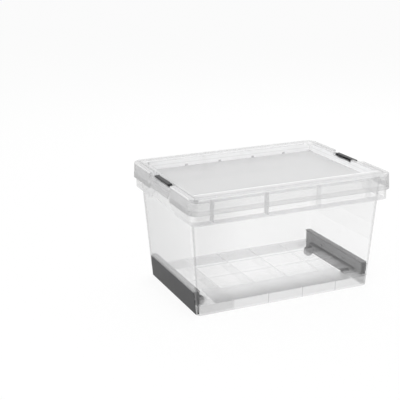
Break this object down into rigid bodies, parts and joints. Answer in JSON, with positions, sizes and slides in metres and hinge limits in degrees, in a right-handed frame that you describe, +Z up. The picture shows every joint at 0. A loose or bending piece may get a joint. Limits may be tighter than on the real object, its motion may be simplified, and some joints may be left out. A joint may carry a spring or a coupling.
{
  "type": "storage container",
  "caption": "Clear tapered plastic storage container with a lift-off lid held by hinged end latches, dark bars along both end feet and small wheels set in wells under the floor.",
  "frame": {"origin": "middle of the foot, on the surface that the container stands on", "axes": "+X along the length towards the right end, +Y from the front long side to the back, +Z up"},
  "size_m": [0.5572, 0.404, 0.312],
  "materials": {
    "clear_plastic": "clear, smooth moulded",
    "dark_plastic": "satin moulded"
  },
  "bodies": {
    "tub": {"tub": "clear_plastic", "end_bar_left": "dark_plastic", "end_bar_right": "dark_plastic", "axle_front_left": "dark_plastic", "axle_front_right": "dark_plastic", "axle_back_left": "dark_plastic", "axle_back_right": "dark_plastic"},
    "lid": {"lid": "clear_plastic", "latch_cover_left": "dark_plastic", "latch_cover_right": "dark_plastic"},
    "latch_flap_left": {"latch_flap_left": "clear_plastic"},
    "latch_flap_right": {"latch_flap_right": "clear_plastic"},
    "wheel_front_left": {"wheel_front_left": "dark_plastic"},
    "wheel_front_right": {"wheel_front_right": "dark_plastic"},
    "wheel_back_left": {"wheel_back_left": "dark_plastic"},
    "wheel_back_right": {"wheel_back_right": "dark_plastic"}
  },
  "joints": [
    {"name": "lid_lift", "type": "slide", "parent": "tub", "child": "lid", "axis": [0, 0, 1], "range_m": [0, 0.12]},
    {"name": "latch_left", "type": "hinge", "parent": "lid", "child": "latch_flap_left", "pos_m": [-0.2734, 0, 0.2995], "axis": [0, 1, 0], "range_deg": [0, 115]},
    {"name": "latch_right", "type": "hinge", "parent": "lid", "child": "latch_flap_right", "pos_m": [0.2734, 0, 0.2995], "axis": [0, -1, 0], "range_deg": [0, 115]},
    {"name": "wheel_spin_front_left", "type": "hinge", "parent": "tub", "child": "wheel_front_left", "pos_m": [-0.213, -0.096, 0.0146], "axis": [0, 1, 0], "continuous": true},
    {"name": "wheel_spin_front_right", "type": "hinge", "parent": "tub", "child": "wheel_front_right", "pos_m": [0.213, -0.096, 0.0146], "axis": [0, 1, 0], "continuous": true},
    {"name": "wheel_spin_back_left", "type": "hinge", "parent": "tub", "child": "wheel_back_left", "pos_m": [-0.213, 0.096, 0.0146], "axis": [0, 1, 0], "continuous": true},
    {"name": "wheel_spin_back_right", "type": "hinge", "parent": "tub", "child": "wheel_back_right", "pos_m": [0.213, 0.096, 0.0146], "axis": [0, 1, 0], "continuous": true}
  ]
}
